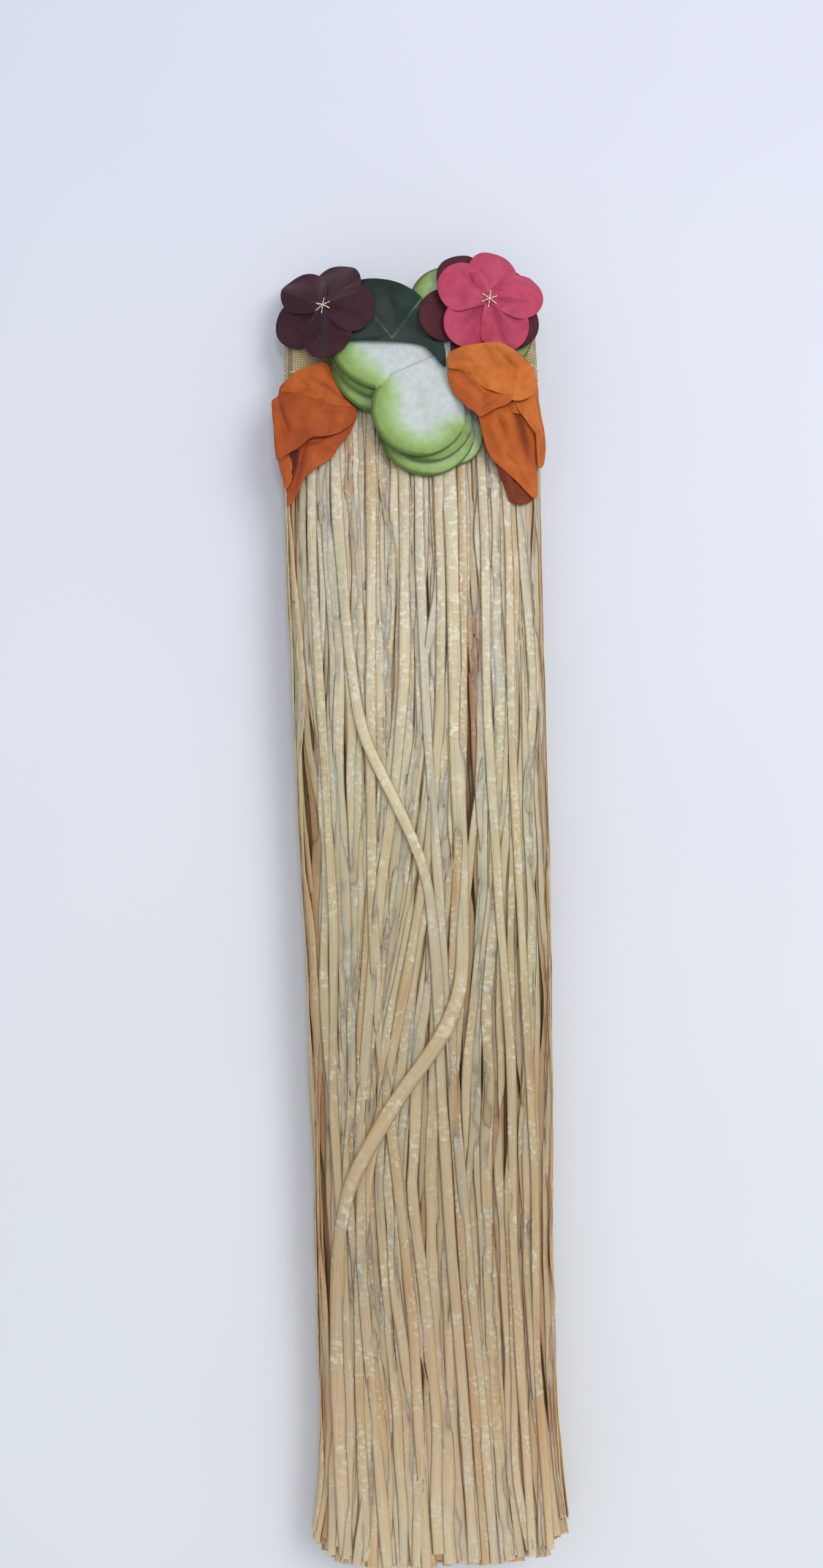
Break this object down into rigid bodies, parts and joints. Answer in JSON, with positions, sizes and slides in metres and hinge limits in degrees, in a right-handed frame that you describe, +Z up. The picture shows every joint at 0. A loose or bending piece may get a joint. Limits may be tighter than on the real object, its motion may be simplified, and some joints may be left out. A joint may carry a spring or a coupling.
{
  "type": "grass skirt",
  "caption": "Child's raffia grass skirt on a tape waistband, trimmed with fabric flowers and a leaf, folded flat into a long narrow bundle that lies on a surface.",
  "frame": {"origin": "on the surface that the bundle lies on, under the middle of the whole box", "axes": "+Y runs along the bundle to the waistband, -Y to the ends of the grass, X across it, +Z up from the surface"},
  "size_m": [0.0927, 0.4441, 0.0341],
  "materials": {
    "raffia": "satin, crinkled translucent film",
    "waistband_tape": "plain woven tape",
    "orange_cloth": "thin crumpled polyester",
    "white_green_cloth": "smooth polyester, white shaded to lime green at the edge",
    "leaf_cloth": "pressed polyester with veins",
    "maroon_cloth": "thin polyester",
    "dark_red_cloth": "thin polyester",
    "pink_red_cloth": "thin polyester"
  },
  "bodies": {
    "root": {"waistband_top_panel": "waistband_tape", "waistband_folded_layers": "waistband_tape", "fringe_top_panel": "raffia", "fringe_folded_layers": "raffia", "flower_orange_left_lower": "orange_cloth", "flower_orange_left_upper": "orange_cloth", "flower_white_lower": "white_green_cloth", "flower_white_middle": "white_green_cloth", "flower_white_upper": "white_green_cloth", "leaf": "leaf_cloth", "flower_maroon": "maroon_cloth", "flower_red_lower": "dark_red_cloth", "flower_red_upper": "pink_red_cloth", "flower_orange_right_lower": "orange_cloth", "flower_orange_right_upper": "orange_cloth"}
  },
  "joints": []
}
